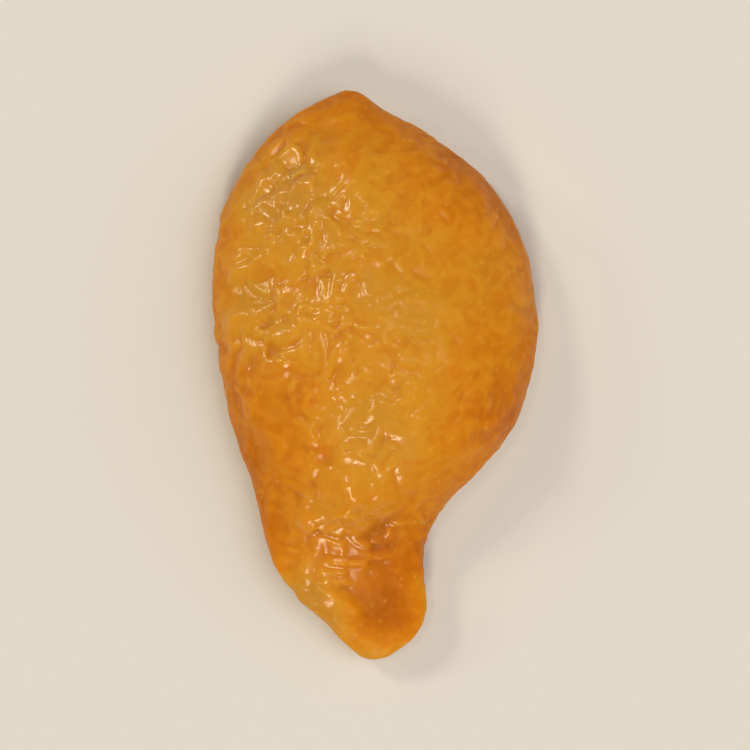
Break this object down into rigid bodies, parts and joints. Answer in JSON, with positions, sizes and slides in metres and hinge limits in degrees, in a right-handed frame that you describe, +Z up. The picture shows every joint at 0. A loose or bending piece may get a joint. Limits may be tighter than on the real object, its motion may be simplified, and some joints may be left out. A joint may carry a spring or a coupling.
{
  "type": "dried apricot half",
  "caption": "Dried apricot half with a domed, finely wrinkled golden skin, a pointed stem end, a drawn-out tail and a shallow stone hollow underneath",
  "frame": {"origin": "on the surface that the half rests on, under the middle of its outline", "axes": "+Z up out of the skin's dome, +Y from the drawn-out tail to the pointed stem end, +X across to the steeper flank"},
  "size_m": [0.0274, 0.0478, 0.0105],
  "materials": {
    "apricot_skin": "golden orange, slightly translucent dried fruit with a soft, sticky gloss and fine wrinkles"
  },
  "bodies": {
    "root": {"apricot_half": "apricot_skin"}
  },
  "joints": []
}
